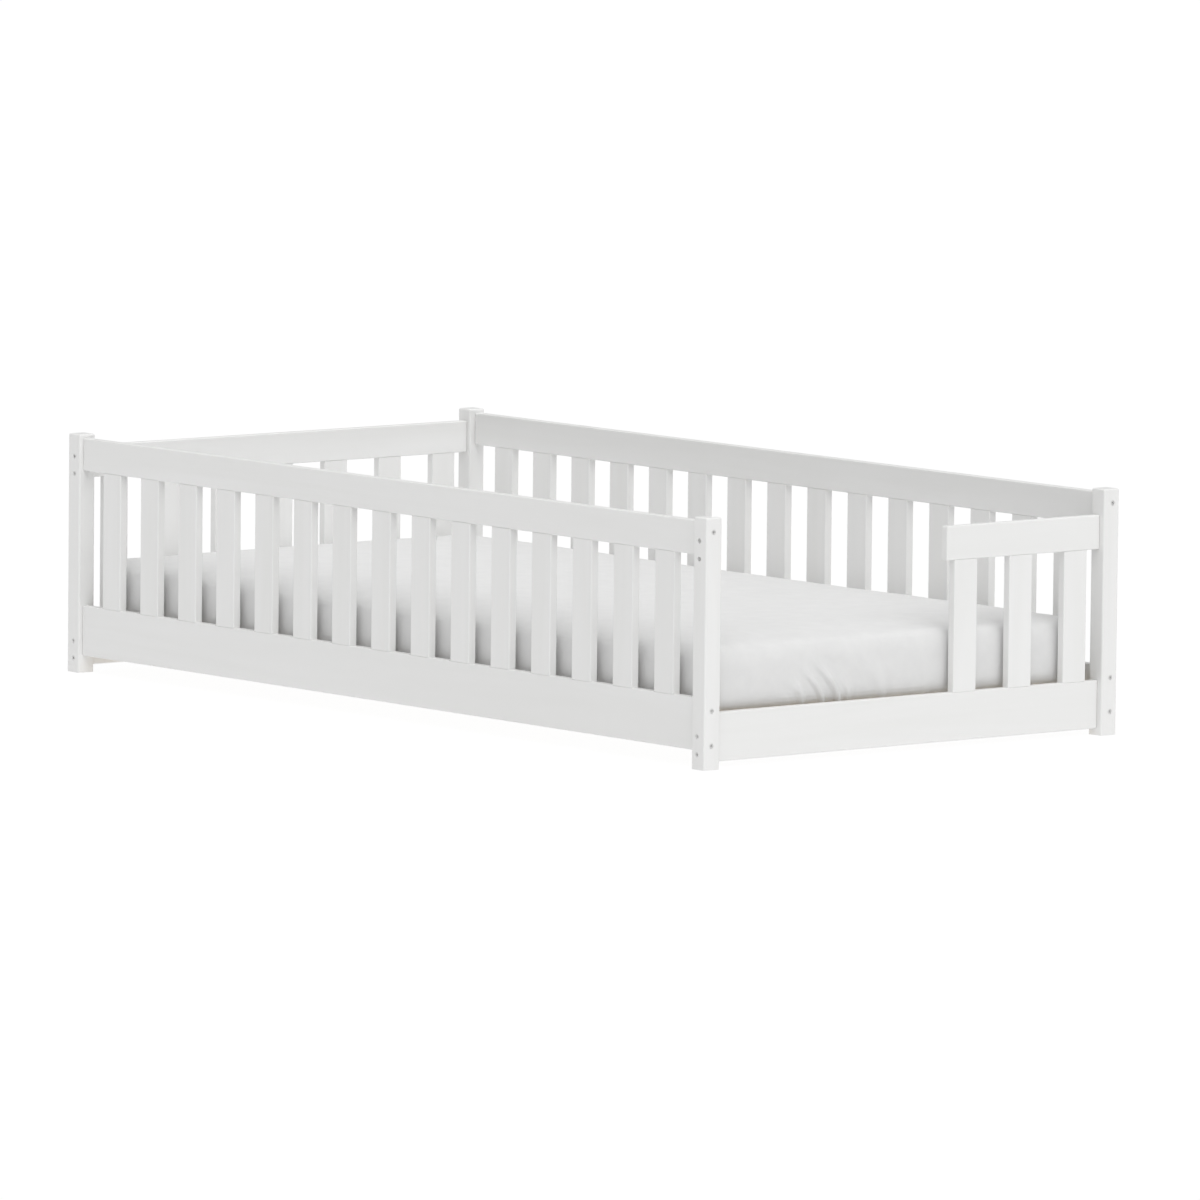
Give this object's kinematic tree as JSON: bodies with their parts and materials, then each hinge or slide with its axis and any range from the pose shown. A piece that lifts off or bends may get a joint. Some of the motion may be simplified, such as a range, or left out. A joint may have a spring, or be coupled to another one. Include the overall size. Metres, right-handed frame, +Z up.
{
  "type": "toddler bed",
  "caption": "Low floor-level toddler bed: corner posts, slatted guard sides and head, open foot end with a short guard, slatted base and a lift-out mattress.",
  "frame": {"origin": "on the floor under the middle of the bed", "axes": "+X along the bed towards the open foot end, +Y towards the long side that the short guard rail joins, +Z up"},
  "size_m": [2.09, 1.08, 0.5],
  "materials": {
    "white_lacquer": "white satin lacquer over solid pine, grain faintly visible",
    "raw_pine": "planed pine, unfinished",
    "strap_webbing": "woven webbing",
    "zinc_steel": "zinc-plated steel",
    "mattress_fabric": "white woven cotton fitted sheet"
  },
  "bodies": {
    "frame": {"baluster_foot_1": "white_lacquer", "baluster_foot_2": "white_lacquer", "baluster_foot_3": "white_lacquer", "baluster_head_1": "white_lacquer", "baluster_head_2": "white_lacquer", "baluster_head_3": "white_lacquer", "baluster_head_4": "white_lacquer", "baluster_head_5": "white_lacquer", "baluster_head_6": "white_lacquer", "baluster_head_7": "white_lacquer", "baluster_left_01": "white_lacquer", "baluster_left_02": "white_lacquer", "baluster_left_03": "white_lacquer", "baluster_left_04": "white_lacquer", "baluster_left_05": "white_lacquer", "baluster_left_06": "white_lacquer", "baluster_left_07": "white_lacquer", "baluster_left_08": "white_lacquer", "baluster_left_09": "white_lacquer", "baluster_left_10": "white_lacquer", "baluster_left_11": "white_lacquer", "baluster_left_12": "white_lacquer", "baluster_left_13": "white_lacquer", "baluster_left_14": "white_lacquer", "baluster_left_15": "white_lacquer", "baluster_right_01": "white_lacquer", "baluster_right_02": "white_lacquer", "baluster_right_03": "white_lacquer", "baluster_right_04": "white_lacquer", "baluster_right_05": "white_lacquer", "baluster_right_06": "white_lacquer", "baluster_right_07": "white_lacquer", "baluster_right_08": "white_lacquer", "baluster_right_09": "white_lacquer", "baluster_right_10": "white_lacquer", "baluster_right_11": "white_lacquer", "baluster_right_12": "white_lacquer", "baluster_right_13": "white_lacquer", "baluster_right_14": "white_lacquer", "baluster_right_15": "white_lacquer", "cleat_screws": "zinc_steel", "connector_bolts": "zinc_steel", "dowels": "raw_pine", "foot_rail_lower": "white_lacquer", "guard_rail": "white_lacquer", "head_rail_lower": "white_lacquer", "head_rail_upper": "white_lacquer", "post_foot_left": "white_lacquer", "post_foot_right": "white_lacquer", "post_head_left": "white_lacquer", "post_head_right": "white_lacquer", "side_rail_lower_left": "white_lacquer", "side_rail_lower_right": "white_lacquer", "side_rail_upper_left": "white_lacquer", "side_rail_upper_right": "white_lacquer", "slat_cleats": "raw_pine", "slat_straps": "strap_webbing", "slats": "raw_pine", "threaded_inserts": "zinc_steel"},
    "mattress": {"mattress": "mattress_fabric"}
  },
  "joints": [
    {"name": "mattress_lift", "type": "slide", "parent": "frame", "child": "mattress", "axis": [0, 0, 1], "range_m": [0, 0.4]}
  ]
}
